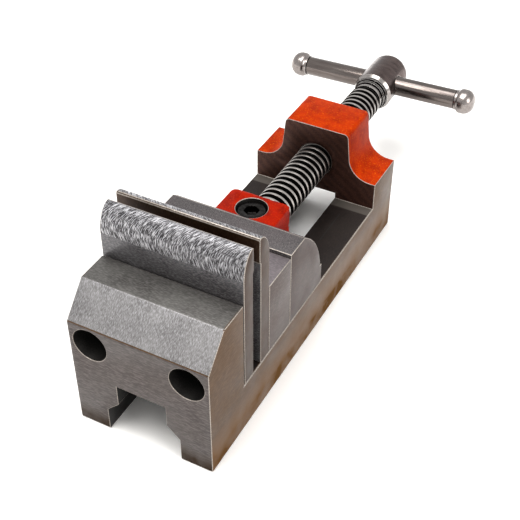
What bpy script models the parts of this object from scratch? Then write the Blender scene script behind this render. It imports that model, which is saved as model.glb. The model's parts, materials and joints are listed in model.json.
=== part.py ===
"""Small screw vise: a ground bed casting, two faced jaws, a lead screw and a sliding handle.

Metres, +Z up. X runs across the vise, Y along it from the fixed jaw to the handle, and Z up
from the table. Stations along Y are measured from the front face of the body, and one empty
moves the whole vise so that the origin lies under the middle of its box.
"""
import math

import bmesh
import bpy
from mathutils import Matrix, Vector

MM = 0.001

# Fits and finishes
SEAT_GAP = 0.3 * MM             # between two pieces that bear on each other
SLIDE_GAP = 0.25 * MM           # between two faces that slide
BORE_GAP = 0.2 * MM             # round a shank, pin or thread, measured on the radius
OVERRUN = 2.0 * MM              # how far a cutter runs past what it cuts
EDGE_ROUND = 0.5 * MM

# Bed and body casting
BODY_WIDTH = 50.8 * MM
BODY_LENGTH = 144.6 * MM
BED_HEIGHT = 20.2 * MM
FRONT_BLOCK_DEPTH = 21.5 * MM
LEDGE_RISE = 34.6 * MM          # top of the front block above the bed
FRONT_SLOPE_DEPTH = 9.9 * MM
FRONT_SLOPE_DROP = 10.8 * MM
REAR_BLOCK_DEPTH = 19.2 * MM
REAR_TOP_RISE = 30.2 * MM
REAR_SHOULDER_RISE = 11.4 * MM
REAR_NECK_WIDTH = 28.0 * MM
REAR_NECK_DRAFT = 0.8 * MM      # lean of each side of the neck between scoop and top
REAR_SCOOP_RADIUS = 9.0 * MM
REAR_CORNER_RADIUS = 1.8 * MM

# Channel under the bed, and the slot that opens it to the top
SLOT_WIDTH = 18.2 * MM
SLOT_RISE = 2.2 * MM            # ceiling of the channel in the end blocks, above the bed
CHANNEL_WIDTH = 27.4 * MM
CHANNEL_WALL_HEIGHT = 9.4 * MM

# Jaw plates
JAW_PLATE_THICKNESS = 5.6 * MM
JAW_PLATE_STANDOUT = 18.0 * MM  # top of the plates above the front block's ledge
JAW_CROWN_DROP = 9.4 * MM
JAW_LIP_HEIGHT = 9.2 * MM
JAW_LIP_DEPTH = 0.6 * MM
REST_OPENING = 3.8 * MM

# Moving jaw
SPACER_DEPTH = 14.9 * MM
SPACER_RISE = 29.1 * MM
CARRIAGE_RISE = 30.4 * MM
CARRIAGE_TOP_DEPTH = 10.1 * MM
CARRIAGE_DEPTH = 23.3 * MM
CARRIAGE_BACK_RISE = 10.2 * MM  # where the curved back turns upright, above the bed
CARRIAGE_BACK_BULGE = 2.4 * MM
CARRIAGE_FOOT_LENGTH = 1.4 * MM
CARRIAGE_FOOT_RISE = 8.2 * MM
BOSS_WIDTH = 23.2 * MM
BOSS_DEPTH = 28.0 * MM
BOSS_RISE = 26.8 * MM
BOSS_ROUND = 0.8 * MM
BOSS_CORNER_ROUND = 2.0 * MM     # upright corners at the rear of the boss
TONGUE_INSET = 1.0 * MM
KEEPER_LENGTH = 26.0 * MM
KEEPER_LIFT = 2.0 * MM          # underside of the keeper above the table
KEEPER_DROP = 0.45 * MM         # keeper below the channel's flares

# Screws that hold the jaws
JAW_SCREW_SPACING = 35.0 * MM
JAW_SCREW_RISE = 16.7 * MM
JAW_SCREW_GRIP = 4.2 * MM       # thread in the jaw plate
FRONT_SCREW_HEAD = 11.9 * MM
FRONT_SCREW_HEAD_HEIGHT = 7.9 * MM
FRONT_SCREW_SHANK = 7.9 * MM
FRONT_SCREW_BORE = 12.5 * MM
FRONT_SCREW_BORE_DEPTH = 17.0 * MM
FRONT_SCREW_KEY = 6.3 * MM
REAR_SCREW_HEAD = 10.0 * MM
REAR_SCREW_HEAD_HEIGHT = 6.0 * MM
REAR_SCREW_SHANK = 6.0 * MM
REAR_SCREW_BORE = 10.8 * MM
REAR_SCREW_SEAT = 10.5 * MM     # seat of the head behind the carriage's front face
REAR_SCREW_KEY = 5.0 * MM
HOLD_DOWN_SETBACK = 7.9 * MM    # from the rear of the boss
HOLD_DOWN_HEAD = 10.7 * MM
HOLD_DOWN_HEAD_HEIGHT = 5.1 * MM
HOLD_DOWN_SHANK = 6.0 * MM
HOLD_DOWN_BORE = 11.4 * MM
HOLD_DOWN_BORE_DEPTH = 6.4 * MM
HOLD_DOWN_KEY = 5.0 * MM
HEAD_CHAMFER = 0.5 * MM
KEY_DEPTH = 2.8 * MM
DOWEL_DIAMETER = 4.0 * MM
DOWEL_SPACING = 7.0 * MM
DOWEL_LENGTH = 11.0 * MM
DOWEL_START = 4.5 * MM          # lower end of a dowel above the table
DOWEL_SETBACK = 3.5 * MM        # first dowel behind the front end of the keeper

# Lead screw
SCREW_RISE = 15.4 * MM          # axis above the bed
SCREW_DIAMETER = 13.6 * MM
THREAD_PITCH = 3.0 * MM
THREAD_DEPTH = 1.5 * MM
THREAD_LENGTH = 91.5 * MM
THREAD_RELIEF = 0.3 * MM        # undercut at each end of the thread, below its root
THREAD_CREST_SHARE = 0.34
THREAD_FLANK_SHARE = 0.15
THREAD_RUNOUT_TURNS = 0.8
THREAD_RUNOUT_SHARE = 0.1       # height left where the thread runs out
NOSE_DIAMETER = 8.0 * MM
NOSE_LENGTH = 3.8 * MM          # in the boss
NOSE_TIP_LENGTH = 1.4 * MM
NOSE_CHAMFER = 0.3 * MM
GROOVE_WIDTH = 2.2 * MM
GROOVE_DIAMETER = 5.2 * MM
PIN_DIAMETER = 1.8 * MM
PIN_SHORTFALL = 0.5 * MM        # each end of a pin inside the boss
WASHER_DIAMETER = 12.6 * MM
WASHER_THICKNESS = 1.2 * MM
NECK_DIAMETER = 12.7 * MM
NECK_LENGTH = 1.7 * MM
RING_GROOVE_DIAMETER = 11.8 * MM
RING_GROOVE_WIDTH = 0.7 * MM
RING_DIAMETERS = (13.6 * MM, 14.7 * MM)
RING_WIDTH = 1.3 * MM
HEAD_DIAMETER = 16.4 * MM
HEAD_CONE_LENGTH = 1.2 * MM
HEAD_LENGTH = 21.4 * MM
HEAD_DOME_LENGTH = 4.2 * MM
HEAD_FLAT_DIAMETER = 8.0 * MM

# Handle
BAR_DIAMETER = 8.0 * MM
BAR_HOLE_DIAMETER = 8.8 * MM
BAR_SETBACK = 8.9 * MM          # behind the front end of the head
HANDLE_LENGTH = 83.2 * MM
HANDLE_TILT = math.radians(1.8)
KNOB_LENGTH = 7.6 * MM
KNOB_DIAMETER = 10.3 * MM
KNOB_NECK_DIAMETER = 8.5 * MM
KNOB_NECK_LENGTH = 1.0 * MM
KNOB_SHOULDER_LENGTH = 0.9 * MM
KNOB_DOME_LENGTH = 4.0 * MM
KNOB_FLAT_DIAMETER = 3.0 * MM
SPIGOT_DIAMETER = 4.4 * MM
SPIGOT_LENGTH = 4.8 * MM

# Numbers of sides
ROUND_SIDES = 36
SMALL_SIDES = 24
SCREW_SIDES = 24
PIN_SIDES = 12
KEY_SIDES = 6
ARC_STEPS = 8
DOME_STEPS = 5
SHARP_ANGLE = math.radians(30)

# Heights above the table
ledge_height = BED_HEIGHT + LEDGE_RISE
jaw_top = ledge_height + JAW_PLATE_STANDOUT
screw_height = BED_HEIGHT + SCREW_RISE
jaw_screw_height = BED_HEIGHT + JAW_SCREW_RISE
boss_top = BED_HEIGHT + BOSS_RISE
flare_top = CHANNEL_WALL_HEIGHT + (CHANNEL_WIDTH - SLOT_WIDTH) / 2
keeper_half = CHANNEL_WIDTH / 2 - SEAT_GAP
keeper_wall_top = CHANNEL_WALL_HEIGHT + SEAT_GAP - KEEPER_DROP
tongue_half = SLOT_WIDTH / 2 - SLIDE_GAP
keeper_top = keeper_wall_top + keeper_half - tongue_half
tongue_bottom = keeper_top + SEAT_GAP

# Stations along the vise
rear_block_front = BODY_LENGTH - REAR_BLOCK_DEPTH
fixed_plate_back = FRONT_BLOCK_DEPTH + SEAT_GAP
fixed_plate_face = fixed_plate_back + JAW_PLATE_THICKNESS
moving_plate_face = fixed_plate_face + 2 * JAW_LIP_DEPTH + REST_OPENING
moving_plate_back = moving_plate_face + JAW_PLATE_THICKNESS
spacer_front = moving_plate_back + SEAT_GAP
spacer_back = spacer_front + SPACER_DEPTH
carriage_front = spacer_back + SEAT_GAP
boss_rear = carriage_front + BOSS_DEPTH
hold_down_station = boss_rear - HOLD_DOWN_SETBACK
keeper_front = carriage_front
nose_tip = boss_rear - NOSE_LENGTH
groove_station = nose_tip + NOSE_TIP_LENGTH + GROOVE_WIDTH / 2
washer_front = boss_rear + SEAT_GAP
thread_start = washer_front + WASHER_THICKNESS + SEAT_GAP
thread_end = thread_start + THREAD_LENGTH
neck_end = thread_end + NECK_LENGTH
head_front = neck_end + len(RING_DIAMETERS) * (RING_GROOVE_WIDTH + RING_WIDTH) + HEAD_CONE_LENGTH
head_rear = head_front + HEAD_LENGTH
handle_station = head_front + BAR_SETBACK
root_radius = SCREW_DIAMETER / 2 - THREAD_DEPTH
relief_radius = root_radius - THREAD_RELIEF


def clear_scene():
    for old in list(bpy.data.objects):
        bpy.data.objects.remove(old, do_unlink=True)


def linear(hex_colour):
    """The linear colour of an sRGB hex code."""
    channels = [int(hex_colour[i:i + 2], 16) / 255 for i in (1, 3, 5)]
    return [c / 12.92 if c <= 0.04045 else ((c + 0.055) / 1.055) ** 2.4 for c in channels] + [1.0]


def metal(name, hex_colour, roughness, metallic=1.0):
    material = bpy.data.materials.new(name)
    material.use_nodes = True
    shader = material.node_tree.nodes["Principled BSDF"]
    shader.inputs["Base Color"].default_value = linear(hex_colour)
    shader.inputs["Roughness"].default_value = roughness
    shader.inputs["Metallic"].default_value = metallic
    return material


# Objects and their placing

def add_empty(name, location, parent=None, rotation=(0.0, 0.0, 0.0)):
    empty = bpy.data.objects.new(name, None)
    bpy.context.collection.objects.link(empty)
    empty.parent = parent
    empty.location = location
    empty.rotation_euler = rotation
    return empty


def add_object(name, bm, parent, material=None, location=(0.0, 0.0, 0.0), rotation=(0.0, 0.0, 0.0)):
    """Closes the bmesh into an object with outward faces, smooth where its faces meet softly."""
    bmesh.ops.recalc_face_normals(bm, faces=bm.faces)
    mesh = bpy.data.meshes.new(name)
    bm.to_mesh(mesh)
    bm.free()
    mesh.shade_smooth()
    mesh.set_sharp_from_angle(angle=SHARP_ANGLE)
    if material:
        mesh.materials.append(material)
    piece = bpy.data.objects.new(name, mesh)
    bpy.context.collection.objects.link(piece)
    piece.parent = parent
    piece.location = location
    piece.rotation_euler = rotation
    return piece


def combine(target, tool, operation):
    """Joins or cuts the target with a tool object, which stays in the file as a wire guide."""
    step = target.modifiers.new(tool.name, "BOOLEAN")
    step.operation = operation
    step.solver = "EXACT"
    step.object = tool
    tool.hide_render = True
    tool.display_type = "WIRE"


# Shapes

def arc(centre, radii, start, end, steps=ARC_STEPS):
    """Points along an ellipse's arc in a plane, with angles in degrees."""
    points = []
    for i in range(steps + 1):
        angle = math.radians(start + (end - start) * i / steps)
        points.append((centre[0] + radii[0] * math.cos(angle), centre[1] + radii[1] * math.sin(angle)))
    return points


def bulged(start, end, bulge, steps=ARC_STEPS):
    """Points from start to end on a flat arc that stands out by the bulge at its middle."""
    a, b = Vector(start), Vector(end)
    chord = b - a
    out = Vector((-chord.y, chord.x)).normalized()
    points = []
    for i in range(steps + 1):
        share = i / steps
        points.append(tuple(a + chord * share + out * bulge * 4 * share * (1 - share)))
    return points


def prism(outline, start, end, axis):
    """A bmesh of an outline pushed along X (outline in Y, Z) or along Y (outline in X, Z)."""
    bm = bmesh.new()
    rings = []
    for depth in (start, end):
        if axis == "X":
            rings.append([bm.verts.new((depth, a, b)) for a, b in outline])
        else:
            rings.append([bm.verts.new((a, depth, b)) for a, b in outline])
    count = len(outline)
    bm.faces.new(rings[0])
    bm.faces.new(rings[1])
    for i in range(count):
        j = (i + 1) % count
        bm.faces.new((rings[0][i], rings[0][j], rings[1][j], rings[1][i]))
    bmesh.ops.recalc_face_normals(bm, faces=bm.faces)
    return bm


def block(low, high):
    """A bmesh of a box between two corners."""
    outline = [(low[1], low[2]), (high[1], low[2]), (high[1], high[2]), (low[1], high[2])]
    return prism(outline, low[0], high[0], "X")


def turned(stations, sides, bm=None):
    """A bmesh turned about Y: stations are (distance along Y, radius), closed flat at both ends."""
    bm = bm or bmesh.new()
    rings = []
    for y, radius in stations:
        ring = []
        for j in range(sides):
            angle = 2 * math.pi * j / sides
            ring.append(bm.verts.new((radius * math.sin(angle), y, radius * math.cos(angle))))
        rings.append(ring)
    bm.faces.new(rings[0])
    bm.faces.new(rings[-1])
    for near, far in zip(rings, rings[1:]):
        for j in range(sides):
            k = (j + 1) % sides
            bm.faces.new((near[j], near[k], far[k], far[j]))
    return bm


def soften(bm, size, chosen):
    """Bevels the chosen outer edges of a bmesh."""
    edges = [e for e in bm.edges if e.is_manifold and e.is_convex and chosen(e)]
    bmesh.ops.bevel(bm, geom=edges, offset=size, segments=2, profile=0.5, affect="EDGES")
    return bm


def is_softened(edge):
    """Every corner of the body but those of the rear block above the bed, which stay crisp."""
    rear = any(v.co.y > rear_block_front - EDGE_ROUND and v.co.z > BED_HEIGHT + EDGE_ROUND for v in edge.verts)
    return edge.calc_face_angle(0.0) > SHARP_ANGLE and not rear


def drill(target, name, parent, diameter, start, end, centre, axis, sides=SMALL_SIDES):
    """Cuts a round hole in the target along X, Y or Z between two places on that axis."""
    bm = turned([(start, diameter / 2), (end, diameter / 2)], sides)
    if axis == "X":
        turn = Matrix.Rotation(-math.pi / 2, 4, "Z")
        shift = Matrix.Translation((0.0, centre[0], centre[1]))
    elif axis == "Y":
        turn = Matrix.Identity(4)
        shift = Matrix.Translation((centre[0], 0.0, centre[1]))
    else:
        turn = Matrix.Rotation(math.pi / 2, 4, "X")
        shift = Matrix.Translation((centre[0], centre[1], 0.0))
    bm.transform(shift @ turn)
    combine(target, add_object(name, bm, parent), "DIFFERENCE")


# Fixed side

def channel_outline():
    low = -OVERRUN
    slot = SLOT_WIDTH / 2
    wide = CHANNEL_WIDTH / 2
    ceiling = BED_HEIGHT + SLOT_RISE
    right = [(wide, low), (wide, CHANNEL_WALL_HEIGHT), (slot, flare_top), (slot, ceiling)]
    return right + [(-x, z) for x, z in reversed(right)]


def scoop_outline(side):
    """What is cut from one side of the rear block: the shoulder, its scoop and the neck's side."""
    shoulder = BED_HEIGHT + REAR_SHOULDER_RISE
    top = BED_HEIGHT + REAR_TOP_RISE
    neck = REAR_NECK_WIDTH / 2
    crown = neck - REAR_NECK_DRAFT
    outer = BODY_WIDTH / 2 + OVERRUN
    points = [(outer, shoulder)]
    points += reversed(arc((neck + REAR_SCOOP_RADIUS, shoulder + REAR_SCOOP_RADIUS),
                           (REAR_SCOOP_RADIUS, REAR_SCOOP_RADIUS), 180, 270))
    points += arc((crown - REAR_CORNER_RADIUS, top - REAR_CORNER_RADIUS),
                  (REAR_CORNER_RADIUS, REAR_CORNER_RADIUS), 0, 90, ARC_STEPS // 2)
    points += [(crown - REAR_CORNER_RADIUS, top + OVERRUN), (outer, top + OVERRUN)]
    return [(side * x, z) for x, z in points]


def make_body(parent, material):
    top = BED_HEIGHT + REAR_TOP_RISE
    side_view = [
        (0, 0), (BODY_LENGTH, 0), (BODY_LENGTH, top), (rear_block_front, top),
        (rear_block_front, BED_HEIGHT), (FRONT_BLOCK_DEPTH, BED_HEIGHT),
        (FRONT_BLOCK_DEPTH, ledge_height), (FRONT_SLOPE_DEPTH, ledge_height),
        (0, ledge_height - FRONT_SLOPE_DROP)]
    bm = prism(side_view, -BODY_WIDTH / 2, BODY_WIDTH / 2, "X")
    body = add_object("base_body", soften(bm, EDGE_ROUND, is_softened), parent, material)
    channel = prism(channel_outline(), -OVERRUN, BODY_LENGTH + OVERRUN, "Y")
    combine(body, add_object("channel_cutter", channel, parent), "DIFFERENCE")
    for side, word in ((-1, "left"), (1, "right")):
        scoop = prism(scoop_outline(side), rear_block_front - OVERRUN, BODY_LENGTH + OVERRUN, "Y")
        combine(body, add_object(f"scoop_cutter_{word}", scoop, parent), "DIFFERENCE")
        centre = (side * JAW_SCREW_SPACING / 2, jaw_screw_height)
        drill(body, f"front_bore_cutter_{word}", parent, FRONT_SCREW_BORE,
              -OVERRUN, FRONT_SCREW_BORE_DEPTH, centre, "Y", ROUND_SIDES)
        drill(body, f"front_shank_cutter_{word}", parent, FRONT_SCREW_SHANK + 2 * BORE_GAP,
              FRONT_SCREW_BORE_DEPTH - OVERRUN, FRONT_BLOCK_DEPTH + OVERRUN, centre, "Y")
    drill(body, "nut_cutter", parent, SCREW_DIAMETER + 2 * BORE_GAP,
          rear_block_front - OVERRUN, BODY_LENGTH + OVERRUN, (0, screw_height), "Y", ROUND_SIDES)
    return body


def jaw_plate_outline(back, facing):
    """Side view of a jaw plate whose back stands at a station; facing is the way its face looks."""
    face = back + facing * JAW_PLATE_THICKNESS
    lip = face + facing * JAW_LIP_DEPTH
    bottom = BED_HEIGHT + SEAT_GAP
    lip_bottom = jaw_top - JAW_LIP_HEIGHT
    crown = arc((lip - facing * EDGE_ROUND, jaw_top - JAW_CROWN_DROP),
                (-facing * (JAW_PLATE_THICKNESS + JAW_LIP_DEPTH - EDGE_ROUND), JAW_CROWN_DROP), 0, 90)
    points = [(back, bottom)] + crown
    points += [(lip, jaw_top - EDGE_ROUND), (lip, lip_bottom), (face, lip_bottom - JAW_LIP_DEPTH)]
    points += [(face, bottom)]
    return points


def make_jaw_plate(name, parent, material, back, facing, shank):
    bm = prism(jaw_plate_outline(back, facing), -BODY_WIDTH / 2, BODY_WIDTH / 2, "X")
    plate = add_object(name, bm, parent, material)
    for side, word in ((-1, "left"), (1, "right")):
        centre = (side * JAW_SCREW_SPACING / 2, jaw_screw_height)
        ends = sorted((back - facing * OVERRUN, back + facing * (JAW_SCREW_GRIP + SEAT_GAP)))
        drill(plate, f"{name}_hole_cutter_{word}", parent, shank + 2 * BORE_GAP,
              ends[0], ends[1], centre, "Y")
    return plate


# Screws

def make_socket_screw(name, parent, material, head, head_height, shank, length, key, location, turn):
    """A socket-head cap screw; its head stands on the location and its shank hangs below."""
    stations = [
        (-length, shank / 2 - HEAD_CHAMFER), (-length + HEAD_CHAMFER, shank / 2), (0, shank / 2),
        (0, head / 2), (head_height - HEAD_CHAMFER, head / 2), (head_height, head / 2 - HEAD_CHAMFER)]
    bm = turned(stations, SMALL_SIDES)
    bm.transform(Matrix.Rotation(math.pi / 2, 4, "X"))
    screw = add_object(name, bm, parent, material, location, (turn, 0.0, 0.0))
    radius = key / math.sqrt(3)
    socket = turned([(head_height - KEY_DEPTH, radius), (head_height + OVERRUN, radius)], KEY_SIDES)
    socket.transform(Matrix.Rotation(math.pi / 2, 4, "X"))
    guide = add_object(f"{name}_key_cutter", socket, parent, None, location, (turn, 0.0, 0.0))
    combine(screw, guide, "DIFFERENCE")
    return screw


def make_front_screws(parent, material):
    seat = FRONT_SCREW_BORE_DEPTH - SEAT_GAP
    reach = fixed_plate_back + JAW_SCREW_GRIP - seat
    for side, word in ((-1, "left"), (1, "right")):
        place = (side * JAW_SCREW_SPACING / 2, seat, jaw_screw_height)
        make_socket_screw(f"fixed_jaw_screw_{word}", parent, material, FRONT_SCREW_HEAD,
                          FRONT_SCREW_HEAD_HEIGHT, FRONT_SCREW_SHANK, reach, FRONT_SCREW_KEY,
                          place, math.pi / 2)


def make_rear_screws(parent, material):
    seat = carriage_front + REAR_SCREW_SEAT + SEAT_GAP
    reach = seat - (moving_plate_back - JAW_SCREW_GRIP)
    for side, word in ((-1, "left"), (1, "right")):
        place = (side * JAW_SCREW_SPACING / 2, seat, jaw_screw_height)
        make_socket_screw(f"moving_jaw_screw_{word}", parent, material, REAR_SCREW_HEAD,
                          REAR_SCREW_HEAD_HEIGHT, REAR_SCREW_SHANK, reach, REAR_SCREW_KEY,
                          place, -math.pi / 2)


def make_hold_down(parent, material):
    seat = boss_top - HOLD_DOWN_BORE_DEPTH + SEAT_GAP
    reach = seat - KEEPER_LIFT - SEAT_GAP
    make_socket_screw("hold_down_screw", parent, material, HOLD_DOWN_HEAD, HOLD_DOWN_HEAD_HEIGHT,
                      HOLD_DOWN_SHANK, reach, HOLD_DOWN_KEY, (0.0, hold_down_station, seat), 0.0)


# Moving jaw

def make_spacer(parent, material):
    half = BODY_WIDTH / 2
    bm = block((-half, spacer_front, BED_HEIGHT + SEAT_GAP), (half, spacer_back, BED_HEIGHT + SPACER_RISE))
    spacer = add_object("jaw_spacer", bm, parent, material)
    for side, word in ((-1, "left"), (1, "right")):
        drill(spacer, f"spacer_hole_cutter_{word}", parent, REAR_SCREW_SHANK + 2 * BORE_GAP,
              spacer_front - OVERRUN, spacer_back + OVERRUN,
              (side * JAW_SCREW_SPACING / 2, jaw_screw_height), "Y")
    return spacer


def carriage_outline():
    bottom = BED_HEIGHT + SEAT_GAP
    top = BED_HEIGHT + CARRIAGE_RISE
    back = carriage_front + CARRIAGE_DEPTH
    foot = back + CARRIAGE_FOOT_LENGTH
    foot_top = BED_HEIGHT + CARRIAGE_FOOT_RISE
    points = [(carriage_front, bottom), (carriage_front, top)]
    points += bulged((carriage_front + CARRIAGE_TOP_DEPTH, top), (back, BED_HEIGHT + CARRIAGE_BACK_RISE),
                     CARRIAGE_BACK_BULGE)
    points += [(back, foot_top), (foot, foot_top), (foot, bottom)]
    return points


def make_carriage(parent, material):
    half = BODY_WIDTH / 2
    carriage = add_object("moving_jaw", prism(carriage_outline(), -half, half, "X"), parent, material)
    boss = block((-BOSS_WIDTH / 2, carriage_front + CARRIAGE_TOP_DEPTH / 2, BED_HEIGHT + SEAT_GAP),
                 (BOSS_WIDTH / 2, boss_rear, boss_top))
    front = carriage_front + CARRIAGE_TOP_DEPTH
    soften(boss, BOSS_CORNER_ROUND, lambda e: min(v.co.y for v in e.verts) > boss_rear - EDGE_ROUND
           and abs(e.verts[0].co.x - e.verts[1].co.x) < EDGE_ROUND)
    soften(boss, BOSS_ROUND, lambda e: max(v.co.y for v in e.verts) > front
           and min(v.co.z for v in e.verts) > boss_top - EDGE_ROUND)
    combine(carriage, add_object("boss_form", boss, parent), "UNION")
    tongue = block((-tongue_half, carriage_front + TONGUE_INSET, tongue_bottom),
                   (tongue_half, boss_rear - TONGUE_INSET, BED_HEIGHT + SEAT_GAP + OVERRUN))
    combine(carriage, add_object("tongue_form", tongue, parent), "UNION")
    drill_carriage(carriage, parent)
    return carriage


def drill_carriage(carriage, parent):
    for side, word in ((-1, "left"), (1, "right")):
        centre = (side * JAW_SCREW_SPACING / 2, jaw_screw_height)
        seat = carriage_front + REAR_SCREW_SEAT
        drill(carriage, f"rear_bore_cutter_{word}", parent, REAR_SCREW_BORE,
              seat, boss_rear + OVERRUN, centre, "Y")
        drill(carriage, f"rear_shank_cutter_{word}", parent, REAR_SCREW_SHANK + 2 * BORE_GAP,
              carriage_front - OVERRUN, seat + OVERRUN, centre, "Y")
    place = (0, hold_down_station)
    drill(carriage, "hold_down_bore_cutter", parent, HOLD_DOWN_BORE,
          boss_top - HOLD_DOWN_BORE_DEPTH, boss_top + OVERRUN, place, "Z", ROUND_SIDES)
    drill(carriage, "hold_down_shank_cutter", parent, HOLD_DOWN_SHANK + 2 * BORE_GAP,
          tongue_bottom - OVERRUN, boss_top - HOLD_DOWN_BORE_DEPTH + OVERRUN, place, "Z")
    drill(carriage, "nose_bore_cutter", parent, NOSE_DIAMETER + 2 * BORE_GAP,
          nose_tip - SEAT_GAP, boss_rear + OVERRUN, (0, screw_height), "Y")
    for height, word in zip(pin_heights(), ("lower", "upper")):
        drill(carriage, f"pin_cutter_{word}", parent, PIN_DIAMETER + 2 * BORE_GAP,
              -BOSS_WIDTH / 2 - OVERRUN, BOSS_WIDTH / 2 + OVERRUN, (groove_station, height), "X", PIN_SIDES)
    for station, word in zip(dowel_stations(), ("front", "rear")):
        drill(carriage, f"dowel_cutter_{word}", parent, DOWEL_DIAMETER + 2 * BORE_GAP,
              tongue_bottom - OVERRUN, DOWEL_START + DOWEL_LENGTH + SEAT_GAP, (0, station), "Z")


def make_keeper(parent, material):
    right = [(keeper_half, KEEPER_LIFT), (keeper_half, keeper_wall_top), (tongue_half, keeper_top)]
    outline = right + [(-x, z) for x, z in reversed(right)]
    bm = prism(outline, keeper_front, keeper_front + KEEPER_LENGTH, "Y")
    keeper = add_object("keeper_plate", bm, parent, material)
    drill(keeper, "keeper_hole_cutter", parent, HOLD_DOWN_SHANK + 2 * BORE_GAP,
          KEEPER_LIFT - OVERRUN, keeper_top + OVERRUN, (0, hold_down_station), "Z")
    for station, word in zip(dowel_stations(), ("front", "rear")):
        drill(keeper, f"keeper_dowel_cutter_{word}", parent, DOWEL_DIAMETER + 2 * BORE_GAP,
              DOWEL_START - SEAT_GAP, keeper_top + OVERRUN, (0, station), "Z")
    return keeper


def dowel_stations():
    first = keeper_front + DOWEL_SETBACK
    return (first, first + DOWEL_SPACING)


def make_dowels(parent, material):
    radius = DOWEL_DIAMETER / 2
    ends = (DOWEL_START, DOWEL_START + DOWEL_LENGTH)
    stations = [(ends[0], radius - NOSE_CHAMFER), (ends[0] + NOSE_CHAMFER, radius),
                (ends[1] - NOSE_CHAMFER, radius), (ends[1], radius - NOSE_CHAMFER)]
    for place, word in zip(dowel_stations(), ("front", "rear")):
        bm = turned(stations, PIN_SIDES)
        bm.transform(Matrix.Rotation(math.pi / 2, 4, "X"))
        add_object(f"keeper_dowel_{word}", bm, parent, material, (0.0, place, 0.0))


def pin_heights():
    offset = (GROOVE_DIAMETER + PIN_DIAMETER) / 2 + BORE_GAP
    return (screw_height - offset, screw_height + offset)


def make_retaining_pins(parent, material):
    half = BOSS_WIDTH / 2 - PIN_SHORTFALL
    radius = PIN_DIAMETER / 2
    for height, word in zip(pin_heights(), ("lower", "upper")):
        bm = turned([(-half, radius), (half, radius)], PIN_SIDES)
        bm.transform(Matrix.Rotation(-math.pi / 2, 4, "Z"))
        add_object(f"retaining_pin_{word}", bm, parent, material, (0.0, groove_station, height))


def make_thrust_washer(parent, material):
    ends = (washer_front, washer_front + WASHER_THICKNESS)
    bm = turned([(ends[0], WASHER_DIAMETER / 2), (ends[1], WASHER_DIAMETER / 2)], SMALL_SIDES)
    washer = add_object("thrust_washer", bm, parent, material, (0.0, 0.0, screw_height))
    drill(washer, "washer_hole_cutter", parent, NOSE_DIAMETER + 2 * BORE_GAP,
          ends[0] - OVERRUN, ends[1] + OVERRUN, (0, screw_height), "Y")
    return washer


# Lead screw

def nose_stations():
    radius = NOSE_DIAMETER / 2
    groove = GROOVE_DIAMETER / 2
    groove_front = nose_tip + NOSE_TIP_LENGTH
    groove_rear = groove_front + GROOVE_WIDTH
    return [(nose_tip, radius - NOSE_CHAMFER), (nose_tip + NOSE_CHAMFER, radius),
            (groove_front, radius), (groove_front, groove), (groove_rear, groove),
            (groove_rear, radius), (thread_start, radius), (thread_start, relief_radius)]


def tail_stations():
    """Neck, rings and head behind the thread."""
    stations = [(thread_end, relief_radius), (thread_end, NECK_DIAMETER / 2), (neck_end, NECK_DIAMETER / 2)]
    y = neck_end
    for diameter in RING_DIAMETERS:
        stations += [(y, RING_GROOVE_DIAMETER / 2), (y + RING_GROOVE_WIDTH, RING_GROOVE_DIAMETER / 2)]
        y += RING_GROOVE_WIDTH
        stations += [(y, diameter / 2), (y + RING_WIDTH, diameter / 2)]
        y += RING_WIDTH
    stations += [(head_front, HEAD_DIAMETER / 2)]
    flat = HEAD_FLAT_DIAMETER / 2
    dome = arc((head_rear - HEAD_DOME_LENGTH, flat), (HEAD_DOME_LENGTH, HEAD_DIAMETER / 2 - flat), 90, 0,
               DOME_STEPS)
    return stations + dome


def add_rings(bm, stations):
    rings = []
    for y, radius in stations:
        ring = []
        for j in range(SCREW_SIDES):
            angle = 2 * math.pi * j / SCREW_SIDES
            ring.append(bm.verts.new((radius * math.sin(angle), y, radius * math.cos(angle))))
        rings.append(ring)
    for near, far in zip(rings, rings[1:]):
        for j in range(SCREW_SIDES):
            k = (j + 1) % SCREW_SIDES
            bm.faces.new((near[j], near[k], far[k], far[j]))
    return rings


def thread_rows(bm, first_ring_y, turns):
    """Rows of points along the helix, four to a turn: root, crest, crest, root."""
    crest = THREAD_CREST_SHARE * THREAD_PITCH
    flank = THREAD_FLANK_SHARE * THREAD_PITCH
    profile = [(0.0, 0.0), (flank, 1.0), (flank + crest, 1.0), (2 * flank + crest, 0.0)]
    points = {}
    for turn in range(turns + 2):
        for m, (offset, lift) in enumerate(profile):
            sides = SCREW_SIDES if turn <= turns else 1
            for j in range(sides):
                wound = turn + j / SCREW_SIDES
                fade = min(1.0, max(THREAD_RUNOUT_SHARE, (turns - wound) / THREAD_RUNOUT_TURNS))
                radius = root_radius + THREAD_DEPTH * lift * fade
                angle = 2 * math.pi * j / SCREW_SIDES
                y = first_ring_y + wound * THREAD_PITCH + offset
                points[turn, m, j] = (radius * math.sin(angle), y, radius * math.cos(angle))
    return points


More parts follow.
